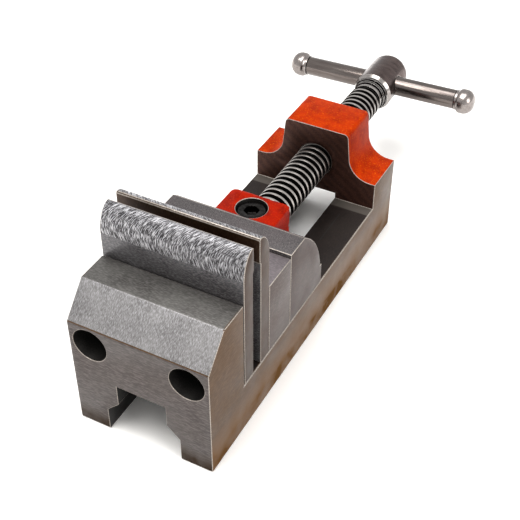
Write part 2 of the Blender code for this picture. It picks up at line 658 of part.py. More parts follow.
def add_thread(bm, front_ring, rear_ring, turns):
    """Right-hand thread between two flat rings, as one closed skin."""
    points = thread_rows(bm, front_ring[0].co.y + THREAD_FLANK_SHARE * THREAD_PITCH, turns)
    verts = {}

    def at(turn, m, j):
        key = (turn + 1, m, 0) if j == SCREW_SIDES else (turn, m, j)
        if key not in verts:
            verts[key] = bm.verts.new(points[key])
        return verts[key]

    for turn in range(turns):
        for m in range(4):
            after = (turn, m + 1) if m < 3 else (turn + 1, 0)
            for j in range(SCREW_SIDES):
                bm.faces.new((at(turn, m, j), at(turn, m, j + 1), at(*after, j + 1), at(*after, j)))
    for j in range(SCREW_SIDES):
        k = (j + 1) % SCREW_SIDES
        front = [front_ring[j], front_ring[k], at(0, 0, j + 1), at(0, 0, j)]
        if j == SCREW_SIDES - 1:
            front[2:2] = [at(0, 0, 0), at(0, 3, 0)]
        bm.faces.new(front)
        rear = [at(turns, 0, j), at(turns, 0, j + 1), rear_ring[k], rear_ring[j]]
        if j == 0:
            rear += [at(turns + 1, 0, 0), at(turns, 3, 0)]
        bm.faces.new(rear)
    for turn in (0, turns):
        bm.faces.new([at(turn, m, 0) for m in range(4)])


def make_lead_screw(parent, handle_parent, material):
    turns = int(THREAD_LENGTH / THREAD_PITCH - THREAD_FLANK_SHARE) - 1
    bm = bmesh.new()
    nose = add_rings(bm, nose_stations())
    tail = add_rings(bm, tail_stations())
    bm.faces.new(nose[0])
    bm.faces.new(tail[-1])
    add_thread(bm, nose[-1], tail[0], turns)
    bm.transform(Matrix.Translation((0.0, -thread_start, 0.0)))
    screw = add_object("lead_screw", bm, parent, material)
    bar_hole = turned([(-HEAD_DIAMETER, BAR_HOLE_DIAMETER / 2), (HEAD_DIAMETER, BAR_HOLE_DIAMETER / 2)],
                      SMALL_SIDES)
    bar_hole.transform(Matrix.Rotation(-math.pi / 2, 4, "Z"))
    combine(screw, add_object("bar_hole_cutter", bar_hole, handle_parent), "DIFFERENCE")
    return screw


# Handle

def make_handle_bar(parent, material):
    half = HANDLE_LENGTH / 2 - KNOB_LENGTH - SEAT_GAP
    tip = half + SPIGOT_LENGTH
    radius, spigot = BAR_DIAMETER / 2, SPIGOT_DIAMETER / 2
    right = [(half, radius), (half, spigot), (tip - NOSE_CHAMFER, spigot), (tip, spigot - NOSE_CHAMFER)]
    stations = [(-x, r) for x, r in reversed(right)] + right
    bm = turned(stations, SMALL_SIDES)
    bm.transform(Matrix.Rotation(-math.pi / 2, 4, "Z"))
    return add_object("handle_bar", bm, parent, material)


def make_knob(side, word, parent, material):
    """A domed knob screwed on the bar's spigot, with a short neck on the side of the bar."""
    inner = HANDLE_LENGTH / 2 - KNOB_LENGTH
    neck_end_x = inner + KNOB_NECK_LENGTH
    shoulder = neck_end_x + KNOB_SHOULDER_LENGTH
    flat = KNOB_FLAT_DIAMETER / 2
    full = KNOB_DIAMETER / 2
    profile = [(inner, KNOB_NECK_DIAMETER / 2), (neck_end_x, KNOB_NECK_DIAMETER / 2)]
    profile += arc((shoulder, KNOB_NECK_DIAMETER / 2),
                   (-KNOB_SHOULDER_LENGTH, full - KNOB_NECK_DIAMETER / 2), 0, 90, DOME_STEPS // 2)[1:]
    profile += arc((HANDLE_LENGTH / 2 - KNOB_DOME_LENGTH, flat), (KNOB_DOME_LENGTH, full - flat), 90, 0,
                   DOME_STEPS)
    bm = turned(profile, SMALL_SIDES)
    bm.transform(Matrix.Rotation(-side * math.pi / 2, 4, "Z"))
    knob = add_object(f"handle_knob_{word}", bm, parent, material)
    depth = inner + SPIGOT_LENGTH
    socket = turned([(inner - OVERRUN, SPIGOT_DIAMETER / 2 + BORE_GAP),
                     (depth, SPIGOT_DIAMETER / 2 + BORE_GAP)], PIN_SIDES)
    socket.transform(Matrix.Rotation(-side * math.pi / 2, 4, "Z"))
    combine(knob, add_object(f"knob_socket_cutter_{word}", socket, parent), "DIFFERENCE")
    return knob


def build():
    clear_scene()
    cast_iron = metal("ground_cast_iron", "#5f5a55", 0.5)
    jaw_steel = metal("ground_jaw_steel", "#8b8683", 0.4)
    black_oxide = metal("black_oxide_steel", "#23211f", 0.45)
    thread_steel = metal("thread_steel", "#6f6a66", 0.35)
    bright_steel = metal("polished_steel", "#b9b2ac", 0.2)

    vise = add_empty("vise", (0.0, -head_rear / 2, 0.0))
    make_body(vise, cast_iron)
    make_jaw_plate("fixed_jaw_plate", vise, jaw_steel, fixed_plate_back, 1, FRONT_SCREW_SHANK)
    make_front_screws(vise, black_oxide)

    make_jaw_plate("moving_jaw_plate", vise, jaw_steel, moving_plate_back, -1, REAR_SCREW_SHANK)
    make_spacer(vise, jaw_steel)
    make_carriage(vise, cast_iron)
    make_rear_screws(vise, black_oxide)
    make_hold_down(vise, black_oxide)
    make_keeper(vise, jaw_steel)
    make_dowels(vise, bright_steel)
    make_retaining_pins(vise, bright_steel)
    make_thrust_washer(vise, bright_steel)

    screw_axis = add_empty("screw_axis", (0.0, thread_start, screw_height), vise)
    handle_axis = add_empty("handle_axis", (0.0, handle_station - thread_start, 0.0), screw_axis,
                            (0.0, -HANDLE_TILT, 0.0))
    make_lead_screw(screw_axis, handle_axis, thread_steel)
    make_handle_bar(handle_axis, bright_steel)
    make_knob(-1, "left", handle_axis, bright_steel)
    make_knob(1, "right", handle_axis, bright_steel)


build()
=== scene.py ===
# %% [markdown]
# # A small screw vise
# The vise is a ground iron body with a red painted block at its far end, two faced jaws and a
# lead screw with a sliding bar. The imported model gives every piece its size and place. This
# lesson dresses it: castings and plates get worn edges with a painted highlight and a finish for
# each face, and round pieces are turned again with more sides, so that they shine like real steel.

import json
import math

import bpy
from mathutils import Matrix, Vector

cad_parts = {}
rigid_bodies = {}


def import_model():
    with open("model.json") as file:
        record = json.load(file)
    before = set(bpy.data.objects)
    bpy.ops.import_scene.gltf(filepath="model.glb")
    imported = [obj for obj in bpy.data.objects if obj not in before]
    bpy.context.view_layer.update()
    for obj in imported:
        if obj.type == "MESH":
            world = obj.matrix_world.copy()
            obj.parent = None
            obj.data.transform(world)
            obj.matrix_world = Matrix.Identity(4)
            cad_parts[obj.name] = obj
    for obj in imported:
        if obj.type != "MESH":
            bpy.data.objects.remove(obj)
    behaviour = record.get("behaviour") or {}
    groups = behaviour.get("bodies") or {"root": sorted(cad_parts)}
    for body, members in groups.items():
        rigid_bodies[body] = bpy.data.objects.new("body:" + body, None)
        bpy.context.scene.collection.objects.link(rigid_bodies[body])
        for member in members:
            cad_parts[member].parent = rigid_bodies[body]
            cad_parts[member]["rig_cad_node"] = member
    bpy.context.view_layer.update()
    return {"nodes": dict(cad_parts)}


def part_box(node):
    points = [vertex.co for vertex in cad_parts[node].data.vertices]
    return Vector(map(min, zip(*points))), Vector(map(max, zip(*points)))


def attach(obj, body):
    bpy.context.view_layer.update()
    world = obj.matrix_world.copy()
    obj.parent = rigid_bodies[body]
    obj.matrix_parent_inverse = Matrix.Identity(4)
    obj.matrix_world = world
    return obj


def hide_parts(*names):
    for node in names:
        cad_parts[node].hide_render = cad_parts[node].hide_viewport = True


MM = 0.001
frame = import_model()

# %% [markdown]
# ## Places
# The model's origin lies under the middle of the vise, but the pieces are easier to think of
# as stations along Y, counted from the front face of the body. The front face is read from the
# body's own box, and the rest are the sizes that the finishes and the turned pieces need.

# %% Stations and heights
front_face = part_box("base_body")[0].y
body_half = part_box("base_body")[1].x
bed_height = 20.2 * MM
ledge_height = 54.8 * MM
rear_block_front = front_face + 125.4 * MM
shoulder_height = bed_height + 11.4 * MM
screw_height = 35.6 * MM
thread_start = front_face + 83.3 * MM
handle_station = front_face + 190.6 * MM
handle_tilt = math.radians(1.8)
print("front face at", round(front_face, 5), "and half width", round(body_half, 5))

# %% [markdown]
# ## Camera
# The photograph is taken from the front right, looking down at about forty degrees. The camera
# was fitted to corners of the body whose places are known, so its place and its two directions
# are written down as they came out. A long lens keeps the body's edges nearly parallel.

# %% Camera
camera_data = bpy.data.cameras.new("camera")
camera_data.lens = 71.15
camera_data.sensor_width = 36.0
camera_data.clip_start = 0.01
camera = bpy.data.objects.new("camera", camera_data)
bpy.context.scene.collection.objects.link(camera)
looking = Vector((-0.35477, 0.67255, -0.64947)).normalized()
right = Vector((0.88377, 0.46791, 0.00178)).normalized()
up = right.cross(looking)
turned = Matrix((right, up, -looking)).transposed().to_4x4()
camera_place = Vector((0.13400, -0.27568, 0.26393))
camera.matrix_world = Matrix.Translation(camera_place) @ turned
bpy.context.scene.camera = camera
print("the camera stands", round(camera_place.length, 3), "m from the vise")

# %% [markdown]
# ## Colours and nodes
# Colours are written as the hex codes that a picture shows, and one function turns them into the
# linear values that the renderer counts with. Every material is a small tree of nodes, and one
# function adds a node, sets its inputs and links it to what feeds it.


# %% Helpers for colours and nodes
def linear(hex_code):
    """The linear colour of an sRGB hex code."""
    channels = [int(hex_code[i:i + 2], 16) / 255 for i in (1, 3, 5)]
    return [c / 12.92 if c <= 0.04045 else ((c + 0.055) / 1.055) ** 2.4 for c in channels] + [1.0]


def add_node(tree, kind, inputs=None, **settings):
    """Adds a node; an input is a value or the socket that feeds it."""
    made = tree.nodes.new(kind)
    for name, value in settings.items():
        setattr(made, name, value)
    for name, value in (inputs or {}).items():
        if isinstance(value, bpy.types.NodeSocket):
            tree.links.new(value, made.inputs[name])
        else:
            made.inputs[name].default_value = value
    return made


print("middle grey #808080 is", round(linear("#808080")[0], 3), "in linear light")


# %% [markdown]
# ## Light
# The tool stands on white paper in a white room. White walls could light it from all sides, but
# then no face would be darker than another. So the white is only what a ray finds when the camera
# sees the room directly, mirrored in metal or through glass. The light itself comes from a room
# that is brightest in front and above, and from three soft lamps: one high over the front left,
# one from the right side and one overhead.


# %% Rays that show the background
def shows_background(tree):
    """One for a ray that the camera sees directly, mirrored or through glass, else zero."""
    path = add_node(tree, "ShaderNodeLightPath").outputs
    mirrored = add_node(tree, "ShaderNodeMath", {
        0: path["Is Glossy Ray"], 1: path["Is Transmission Ray"]}, operation="MAXIMUM")
    shown = add_node(tree, "ShaderNodeMath", {
        0: path["Is Camera Ray"], 1: mirrored.outputs[0]}, operation="MAXIMUM")
    return shown.outputs[0]


# %% Room
room = bpy.data.worlds.new("room")
bpy.context.scene.world = room
room.use_nodes = True
tree = room.node_tree
tree.nodes.clear()
direction = add_node(tree, "ShaderNodeTexCoord").outputs["Generated"]
parts = add_node(tree, "ShaderNodeSeparateXYZ", {0: direction}).outputs
# brighter towards the front, and much brighter above than at the horizon
from_front = add_node(tree, "ShaderNodeMapRange", {
    "Value": parts["Y"], "From Min": -0.6, "From Max": 0.7, "To Min": 0.75, "To Max": 0.36})
from_above = add_node(tree, "ShaderNodeMapRange", {
    "Value": parts["Z"], "From Min": 0.0, "From Max": 0.6, "To Min": 0.16, "To Max": 1.12})
strength = add_node(tree, "ShaderNodeMath", {
    0: from_front.outputs["Result"], 1: from_above.outputs["Result"]}, operation="MULTIPLY").outputs[0]
soft_light = add_node(tree, "ShaderNodeBackground", {"Color": linear("#fffcf8"), "Strength": strength})
white = add_node(tree, "ShaderNodeBackground", {"Color": linear("#ffffff"), "Strength": 1.0})
choice = add_node(tree, "ShaderNodeMixShader", {
    0: shows_background(tree), 1: soft_light.outputs[0], 2: white.outputs[0]})
add_node(tree, "ShaderNodeOutputWorld", {"Surface": choice.outputs[0]})
bpy.context.scene.view_settings.view_transform = "Standard"
print("room ready with", len(tree.nodes), "nodes")


# %% Lamps
def add_lamp(name, place, aim, size, power, colour):
    """A soft rectangular lamp that hangs at a place and looks at its aim."""
    light = bpy.data.lights.new(name, "AREA")
    light.shape = "RECTANGLE"
    light.size, light.size_y = size
    light.energy = power
    light.color = linear(colour)[:3]
    lamp = bpy.data.objects.new(name, light)
    bpy.context.scene.collection.objects.link(lamp)
    lamp.location = place
    lamp.rotation_euler = (Vector(aim) - Vector(place)).to_track_quat("-Z", "Y").to_euler()
    print(name, "of", power, "W")


add_lamp("key_lamp", (-0.24, -0.34, 0.94), (0, 0, 0.02), (0.6, 0.3), 5.0, "#fffdf9")
add_lamp("side_lamp", (0.8, -0.15, 0.45), (0, 0, 0.02), (0.5, 0.5), 4.4, "#fffdfa")
add_lamp("top_lamp", (-0.05, 0.0, 0.9), (0, 0, 0.0), (0.5, 0.5), 4.6, "#ffffff")

# %% [markdown]
# The floor has to look white and still keep the tool's shadow. A plain glow would hide the
# shadow, so the paper that the camera sees is a very bright matt surface, and it only begins to
# glow away from the tool, where the lamps grow weak. The paper that lights the tool from below
# is darker, because white paper there would wash out the undersides.

# %% Floor
beyond_white = 1.12  # the lamps alone would leave white paper a light grey
glow_start, glow_full = 0.13, 0.45  # metres from the middle of the vise
bpy.ops.object.select_all(action="DESELECT")
bpy.ops.mesh.primitive_plane_add(size=6.0, location=(0, 0, -0.05 * MM))
floor = bpy.context.object
floor.name = "floor"
paper = bpy.data.materials.new("white_paper")
paper.use_nodes = True
tree = paper.node_tree
tree.nodes.clear()
lighting = add_node(tree, "ShaderNodeBsdfDiffuse", {"Color": linear("#857a70")})
bright = add_node(tree, "ShaderNodeBsdfDiffuse", {"Color": [beyond_white] * 3 + [1.0]})
place_on_floor = add_node(tree, "ShaderNodeTexCoord").outputs["Object"]
away = add_node(tree, "ShaderNodeVectorMath", {0: place_on_floor}, operation="LENGTH").outputs["Value"]
fading = add_node(tree, "ShaderNodeMapRange", {
    "Value": away, "From Min": glow_start, "From Max": glow_full})
glow = add_node(tree, "ShaderNodeEmission", {
    "Color": linear("#ffffff"), "Strength": fading.outputs["Result"]})
shown = add_node(tree, "ShaderNodeAddShader", {0: bright.outputs[0], 1: glow.outputs[0]})
choice = add_node(tree, "ShaderNodeMixShader", {
    0: shows_background(tree), 1: lighting.outputs[0], 2: shown.outputs[0]})
add_node(tree, "ShaderNodeOutputMaterial", {"Surface": choice.outputs[0]})
floor.data.materials.append(paper)
print("floor ready with", len(tree.nodes), "nodes")

# %% [markdown]
# ## Ground iron and steel
# The flat faces are ground, then handled for years. A grinding wheel leaves fine scratches one
# way across a face, cast iron shows a speckle of graphite under them, and oil and fingers darken
# the metal unevenly. So one recipe makes them all: a stretched noise for the scratches, a round
# one for the speckle and a slow one for the stains. Only the tones and the way of the scratches
# change from face to face. Such faces are half metal and half dull skin, so they mirror softly.


# %% Start a material, make a grain, lay a tone over it
def start_material(name, roughness, metallic):
    """A new material, its node tree, its Principled shader, and Object coordinates."""
    made = bpy.data.materials.new(name)
    made.use_nodes = True
    shader = made.node_tree.nodes["Principled BSDF"]
    shader.inputs["Roughness"].default_value = roughness
    shader.inputs["Metallic"].default_value = metallic
    coords = add_node(made.node_tree, "ShaderNodeTexCoord").outputs["Object"]
    return made, made.node_tree, shader, coords


def grain(tree, coords, size, detail=3.0, stretch=(1, 1, 1)):
    """A pattern whose grains have the given size in metres, and are longer along stretched axes."""
    placed = add_node(tree, "ShaderNodeMapping", {
        "Vector": coords, "Scale": [1 / (size * longer) for longer in stretch]})
    return add_node(tree, "ShaderNodeTexNoise", {
        "Vector": placed.outputs[0], "Scale": 1.0, "Detail": detail}).outputs["Fac"]


def lay_over(tree, colour, pattern, low, high, tone, most=1.0):
    """Lays a tone over a colour, from nothing where the pattern is at low to most at high."""
    share = add_node(tree, "ShaderNodeMapRange", {
        "Value": pattern, "From Min": low, "From Max": high, "To Max": most})
    mixed = add_node(tree, "ShaderNodeMix", {
        0: share.outputs["Result"], 6: colour, 7: linear(tone)}, data_type="RGBA")
    return mixed.outputs[2]


# %% [markdown]
# Near the bench the body has rusted. Rust is brown, but above all it's dull: where it covers the
# iron, nothing is mirrored any more. So one mask, the height times a slow noise, blends the
# colour and also takes away the metal and the gloss.


# %% Rust near the bench
rust_full = 0.4  # share of the rust's height below which it covers the iron


def rust_over(tree, shader, coords, colour, slow, metallic, tone, height):
    """Lays rust over a colour below a height, and makes the surface dull there."""
    above_bench = add_node(tree, "ShaderNodeSeparateXYZ", {0: coords}).outputs["Z"]
    low_down = add_node(tree, "ShaderNodeMapRange", {
        "Value": above_bench, "From Min": height, "From Max": rust_full * height})
    uneven = add_node(tree, "ShaderNodeMapRange", {
        "Value": slow, "From Min": 0.3, "From Max": 0.6, "To Min": 0.75, "To Max": 1.0})
    rusty = add_node(tree, "ShaderNodeMath", {
        0: low_down.outputs["Result"], 1: uneven.outputs["Result"]}, operation="MULTIPLY").outputs[0]
    for socket, clean in (("Metallic", metallic), ("Specular IOR Level", 0.5)):
        dulled = add_node(tree, "ShaderNodeMapRange", {"Value": rusty, "To Min": clean, "To Max": 0.0})
        tree.links.new(dulled.outputs["Result"], shader.inputs[socket])
    mixed = add_node(tree, "ShaderNodeMix", {0: rusty, 6: colour, 7: linear(tone)}, data_type="RGBA")
    return mixed.outputs[2]


print("the lowest", round(100 * rust_full), "percent of the rust's height is fully covered")


# %% Recipe for a ground face
scratch_size = 0.32 * MM  # real scratches are some ten times finer and wouldn't show
speckle_size = 0.8 * MM
stain_size = 9 * MM


def ground_metal(name, tone, dark, light, scratch=(1, 1, 1), roughness=0.45, metallic=0.6,
                 speckle=0.55, rust=None, marks=None):
    """Ground iron or steel: scratches run along the stretched axis of scratch."""
    made, tree, shader, coords = start_material(name, roughness, metallic)
    fine = grain(tree, coords, scratch_size, 4.0, scratch)
    spots = grain(tree, coords, speckle_size, 2.0)
    slow = grain(tree, coords, stain_size)
    colour = lay_over(tree, linear(dark), slow, 0.3, 0.7, tone)
    colour = lay_over(tree, colour, fine, 0.42, 0.72, light)
    colour = lay_over(tree, colour, spots, 0.45, 0.7, dark, 0.5 * speckle)
    if rust is not None:
        colour = rust_over(tree, shader, coords, colour, slow, metallic, *rust)
    if marks is not None:
        colour = marks(tree, coords, colour)
    tree.links.new(colour, shader.inputs["Base Color"])
    bump = add_node(tree, "ShaderNodeBump", {"Strength": 0.25, "Distance": 0.05 * MM, "Height": fine})
    tree.links.new(bump.outputs[0], shader.inputs["Normal"])
    uneven = add_node(tree, "ShaderNodeMapRange", {
        "Value": slow, "From Min": 0.3, "From Max": 0.7,
        "To Min": roughness - 0.06, "To Max": roughness + 0.08})
    tree.links.new(uneven.outputs["Result"], shader.inputs["Roughness"])
    return made


print("scratches are drawn", round(scratch_size / MM, 2), "mm wide")


# %% [markdown]
# ## Finishes of the body
# The bed tells how the vise was used. The jaw slides over most of it and keeps it dark and oily,
# but it never reaches the last few millimetres before the rear block, which stay lighter. A thin
# dark line runs along part of the right rail. Both are drawn by place, so they stay put when the
# size of a noise changes. The other faces differ in tone: the slope is the brightest, partly by
# painted light, and the bores are painted black as shade.


# %% Marks on the bed
strip_front = rear_block_front - 4.9 * MM
strip_fade = 0.6 * MM
line_x, line_half_width = 15.2 * MM, 0.2 * MM
line_middle, line_half_length = front_face + 108 * MM, 9 * MM


def bed_marks(tree, coords, colour):
    """A lighter strip that the jaw never reaches, and a thin dark line on the right rail."""
    parts = add_node(tree, "ShaderNodeSeparateXYZ", {0: coords}).outputs
    colour = lay_over(tree, colour, parts["Y"], strip_front, strip_front + strip_fade, "#48433e")
    # a thin dark line on the right rail
    across = add_node(tree, "ShaderNodeMath", {
        0: parts["X"], 1: line_x, 2: line_half_width}, operation="COMPARE")
    along = add_node(tree, "ShaderNodeMath", {
        0: parts["Y"], 1: line_middle, 2: line_half_length}, operation="COMPARE")
    dark_line = add_node(tree, "ShaderNodeMath", {
        0: across.outputs[0], 1: along.outputs[0]}, operation="MULTIPLY").outputs[0]
    mixed = add_node(tree, "ShaderNodeMix", {0: dark_line, 6: colour, 7: linear("#1d1b19")}, data_type="RGBA")
    return mixed.outputs[2]


print("the lighter strip is", round((rear_block_front - strip_front) / MM, 1), "mm wide")


# %% Finishes of the body
along_x, along_y, along_z = (6, 1, 1), (1, 6, 1), (1, 1, 4)
# ground from side to side: a dull grey with level streaks, brown and matt at its feet
iron_front = ground_metal("ground_iron_front", "#4d4744", "#3b3433", "#69615f", along_x,
                          rust=("#37240f", 8.5 * MM))
# ground up the slope: the palest face, its pale tone partly painted light, with the softest gleam
iron_slope = ground_metal("ground_iron_slope", "#7b7a7a", "#5f5d5d", "#b1b0b3", (0.5, 3, 3),
                          roughness=0.5, metallic=0.35)
# ground and seldom touched: an even middle grey
iron_ledge = ground_metal("ground_iron_ledge", "#575653", "#444240", "#6f6c6a", (4, 1, 1), roughness=0.5)
# ground, oiled and rubbed by the jaw: nearly black with a faint brown cast
iron_bed = ground_metal("ground_iron_bed", "#18100b", "#110906", "#231915", (1, 5, 1), roughness=0.5,
                        marks=bed_marks)
# ground lengthwise and left to age: brown, and paler and matt where rust has spread
iron_side = ground_metal("ground_iron_side", "#513b27", "#412d1c", "#5d4833", along_y,
                         rust=("#78593a", 16 * MM))
# painted shade for the bores, the channel and hidden undersides: dark all over, so that the holes look deep
shaded_recess_iron = ground_metal("painted_shade_in_recesses", "#171514", "#0d0c0c", "#262321", roughness=0.5)
# broken with a file and rubbed by use, and painted as a highlight: thin bright lines round every face
edge_wear_and_highlight = ground_metal("edge_wear_and_highlight", "#9c948c", "#7d756d", "#c4bcb4", roughness=0.4, speckle=0.2)
print("seven iron finishes are ready")

# %% [markdown]
# ## Milled face of the rear block
# The block's inner face was milled and never ground: the cutter left broad slanting bands on
# dark oxidised iron. A wave texture turned to that slant draws the bands, and its distortion
# bends them a little. A plain noise would give patches instead of the even steps of a cutter.


# %% Milled face
one_band = 0.32  # at this scale a wave texture has about one band to a unit


def milled_metal(name, tone, dark, light, band):
    """Milled iron with slanting bands of the given width."""
    made, tree, shader, coords = start_material(name, 0.45, 0.7)
    placed = add_node(tree, "ShaderNodeMapping", {
        "Vector": coords, "Rotation": (0, math.radians(52), 0), "Scale": [1 / band] * 3})
    bands = add_node(tree, "ShaderNodeTexWave", {
        "Vector": placed.outputs[0], "Scale": one_band, "Distortion": 5.0, "Detail": 4.0,
        "Detail Scale": 0.8}, bands_direction="X").outputs["Fac"]
    fine = grain(tree, coords, 0.5 * MM)
    colour = lay_over(tree, linear(dark), bands, 0.15, 0.95, tone)
    colour = lay_over(tree, colour, fine, 0.5, 0.8, light)
    tree.links.new(colour, shader.inputs["Base Color"])
    bump = add_node(tree, "ShaderNodeBump", {"Strength": 0.2, "Distance": 0.06 * MM, "Height": fine})
    tree.links.new(bump.outputs[0], shader.inputs["Normal"])
    return made


# milled and never ground: dark brown with broad slanting bands
iron_milled = milled_metal("milled_iron", "#40271e", "#341e18", "#4f332b", 3.2 * MM)
print("milled face ready")

# %% [markdown]
# ## Painted iron
# The faces that were never ground keep the casting's red enamel. Brushed enamel has a soft
# orange-peel surface, and age gives it cloudy patches, light worn specks and small dark pits.
# Paint is no metal, and this old film has lost its gloss, so the shader is a plain colour with
# hardly any mirror in it. The jaw's boss is a deeper red than the block.


# %% Red enamel
def enamel(name, tone, dark, light):
    """Old brushed enamel with patches, specks and an orange-peel surface."""
    made, tree, shader, coords = start_material(name, 0.48, 0.0)
    patches = grain(tree, coords, 4 * MM, 5.0)
    specks = grain(tree, coords, 0.5 * MM, 2.0)
    colour = lay_over(tree, linear(dark), patches, 0.35, 0.6, tone)
    colour = lay_over(tree, colour, specks, 0.58, 0.72, light)
    colour = lay_over(tree, colour, specks, 0.36, 0.26, dark)
    tree.links.new(colour, shader.inputs["Base Color"])
    shader.inputs["Specular IOR Level"].default_value = 0.05
    peel = grain(tree, coords, 1.1 * MM, 2.0)
    bump = add_node(tree, "ShaderNodeBump", {"Strength": 0.18, "Distance": 0.1 * MM, "Height": peel})
    tree.links.new(bump.outputs[0], shader.inputs["Normal"])
    return made


# brushed enamel that has seen sun: a warm red, nearly orange where it is worn
block_enamel = enamel("red_enamel", "#ab2e00", "#902000", "#c15302")
# the same enamel, darkened by hands and oil: a deeper red
boss_enamel = enamel("deep_red_enamel", "#981600", "#780c00", "#b13301")
print("two enamels are ready")

# %% [markdown]
# ## Faced crown of the jaw plates
# The rounded crowns were dressed with a small wheel that swept over them again and again, and
# each sweep left a bright bow. A picture of bows could be wrapped round the crown, but a noise
# does it too: stretched across the crown it gives straight strokes, and when the place along
# the plate is shifted by the square of the way round the crown, the strokes turn into bows. A
# second, flatter set of bows crosses the first. The strokes are drawn about twice as coarse as
# real ones, so that they show.


# %% Bows across a crown
opening_middle = (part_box("fixed_jaw_plate")[1].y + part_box("moving_jaw_plate")[0].y) / 2
crown_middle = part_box("fixed_jaw_plate")[1].z - 5 * MM
outward_share, rise_share = 0.65, 0.75  # a step up the crown's mean slope, taken apart
bow_start = -5.0 * MM  # where on the way round the bows start, square to the plate's length
sway_width = 0.8 * MM  # how far the hand strayed


def way_round(tree, parts):
    """How far round the crown a point lies, about zero at the crown's middle."""
    off_opening = add_node(tree, "ShaderNodeMath", {0: parts["Y"], 1: -opening_middle}, operation="ADD")
    depth = add_node(tree, "ShaderNodeMath", {0: off_opening.outputs[0]}, operation="ABSOLUTE")
    above = add_node(tree, "ShaderNodeMath", {0: parts["Z"], 1: -crown_middle}, operation="ADD")
    rise = add_node(tree, "ShaderNodeMath", {0: above.outputs[0], 1: rise_share}, operation="MULTIPLY")
    return add_node(tree, "ShaderNodeMath", {
        0: depth.outputs[0], 1: -outward_share, 2: rise.outputs[0]}, operation="MULTIPLY_ADD").outputs[0]


def bowed(tree, parts, girth, bend, sway):
    """The place on a crown, bent so that straight strokes turn into bows, and swayed by a noise."""
    onward = add_node(tree, "ShaderNodeMath", {0: girth, 1: -bow_start}, operation="ADD").outputs[0]
    square = add_node(tree, "ShaderNodeMath", {0: onward, 1: onward}, operation="MULTIPLY")
    bow = add_node(tree, "ShaderNodeMath", {
        0: square.outputs[0], 1: -bend, 2: parts["X"]}, operation="MULTIPLY_ADD")
    along = add_node(tree, "ShaderNodeMath", {
        0: sway, 1: sway_width, 2: bow.outputs[0]}, operation="MULTIPLY_ADD")
    return add_node(tree, "ShaderNodeCombineXYZ", {"X": along.outputs[0], "Y": girth}).outputs[0]


print("the opening is at", round(opening_middle, 5), "and the crowns' middle at", round(crown_middle, 5))


# %% Swept crown
stroke_width, crossing_width = 0.27 * MM, 0.2 * MM
stroke_bend, crossing_bend = 85.0, 50.0  # per metre, how much the bows lean as they rise
right_end = 25 * MM


def swept_metal(name, dark, tone, light):
    """Steel dressed with a small wheel; its colour is darker towards its right end."""
    made, tree, shader, coords = start_material(name, 0.5, 0.45)
    parts = add_node(tree, "ShaderNodeSeparateXYZ", {0: coords}).outputs
    girth = way_round(tree, parts)
    sway = grain(tree, coords, 3.0 * MM, 2.0)
    strokes = grain(tree, bowed(tree, parts, girth, stroke_bend, sway), stroke_width, 4.0, (1, 8, 8))
    crossing = grain(tree, bowed(tree, parts, girth, crossing_bend, sway), crossing_width, 3.0, (1, 5, 5))
    colour = lay_over(tree, linear(dark), crossing, 0.4, 0.6, tone)
    colour = lay_over(tree, colour, strokes, 0.5, 0.6, light)
    colour = lay_over(tree, colour, strokes, 0.46, 0.39, dark)
    colour = lay_over(tree, colour, crossing, 0.6, 0.66, light)
    # the colour is darker towards the plate's right end
    colour = lay_over(tree, colour, parts["X"], -right_end, right_end, dark, 0.35)
    tree.links.new(colour, shader.inputs["Base Color"])
    bump = add_node(tree, "ShaderNodeBump", {"Strength": 0.25, "Distance": 0.05 * MM, "Height": strokes})
    tree.links.new(bump.outputs[0], shader.inputs["Normal"])
    return made


print("strokes are drawn", round(stroke_width / MM, 2), "mm wide")

# %% [markdown]
# The other faces of the jaws are ground like the body's. Their ends lean to brown, from the same
# oil and dust as the body's sides, and the jaw's top is the roughest of them.

# %% Finishes of the jaws
# swept by a small wheel: bright bows on dark steel, busier than any other face
plate_crown = swept_metal("swept_jaw_steel", "#282629", "#575559", "#ccccd0")
# surface-ground steel: a cool clean grey with short level streaks
plate_back = ground_metal("jaw_steel_back", "#5a5a5c", "#3c3a3d", "#828083", (3, 1, 1), roughness=0.4)
# ends ground, then soaked with oil: dark brown with upright streaks
plate_side = ground_metal("jaw_steel_side", "#342113", "#26170b", "#432d1e", along_z)
# ground steel under old oil: a brownish middle grey
spacer_side = ground_metal("spacer_side", "#493d39", "#39302e", "#5b504d", (1, 4, 1), roughness=0.42)
# ground steel that catches the light from above: pale and soft
spacer_top = ground_metal("spacer_top", "#676063", "#575053", "#797275", (5, 1, 1),
                          roughness=0.55, metallic=0.35)
# ground iron beside it: darker than the spacer, so that the joint between them shows
jaw_side = ground_metal("moving_jaw_side", "#352725", "#2c201d", "#463530", (1, 4, 1), roughness=0.42)
# iron with an open grain, ground only roughly: dark and speckled, with hardly a gleam
jaw_top = ground_metal("moving_jaw_top", "#3d3739", "#282627", "#6e6868",
                       roughness=0.6, metallic=0.3, speckle=0.8)
print("seven jaw finishes are ready")

# %% [markdown]
# ## Hardware finishes
# Cap screws are black-oxided steel, which is dark with a small hard gleam. The bar, the knobs and
# the head are bare turned steel, with faint patches where oil has dried. They are full metals, so
# nearly all that the eye gets from them is what they mirror.


# %% Finishes of bar, head and cap screws
def hardware(name, tone, dark, roughness, size, stretch=(1, 1, 1)):
    """Bare or oxided steel with patches of the given size."""
    made, tree, shader, coords = start_material(name, roughness, 1.0)
    patches = grain(tree, coords, size, 3.0, stretch)
    colour = lay_over(tree, linear(dark), patches, 0.35, 0.65, tone)
    tree.links.new(colour, shader.inputs["Base Color"])
    uneven = add_node(tree, "ShaderNodeMapRange", {
        "Value": patches, "From Min": 0.3, "From Max": 0.7, "To Min": roughness + 0.06,
        "To Max": roughness - 0.04})
    tree.links.new(uneven.outputs["Result"], shader.inputs["Roughness"])
    return made


# oxided in a hot bath: black with a small hard gleam
black_oxide = hardware("black_oxide", "#2e2c2b", "#181716", 0.24, 1.0 * MM)
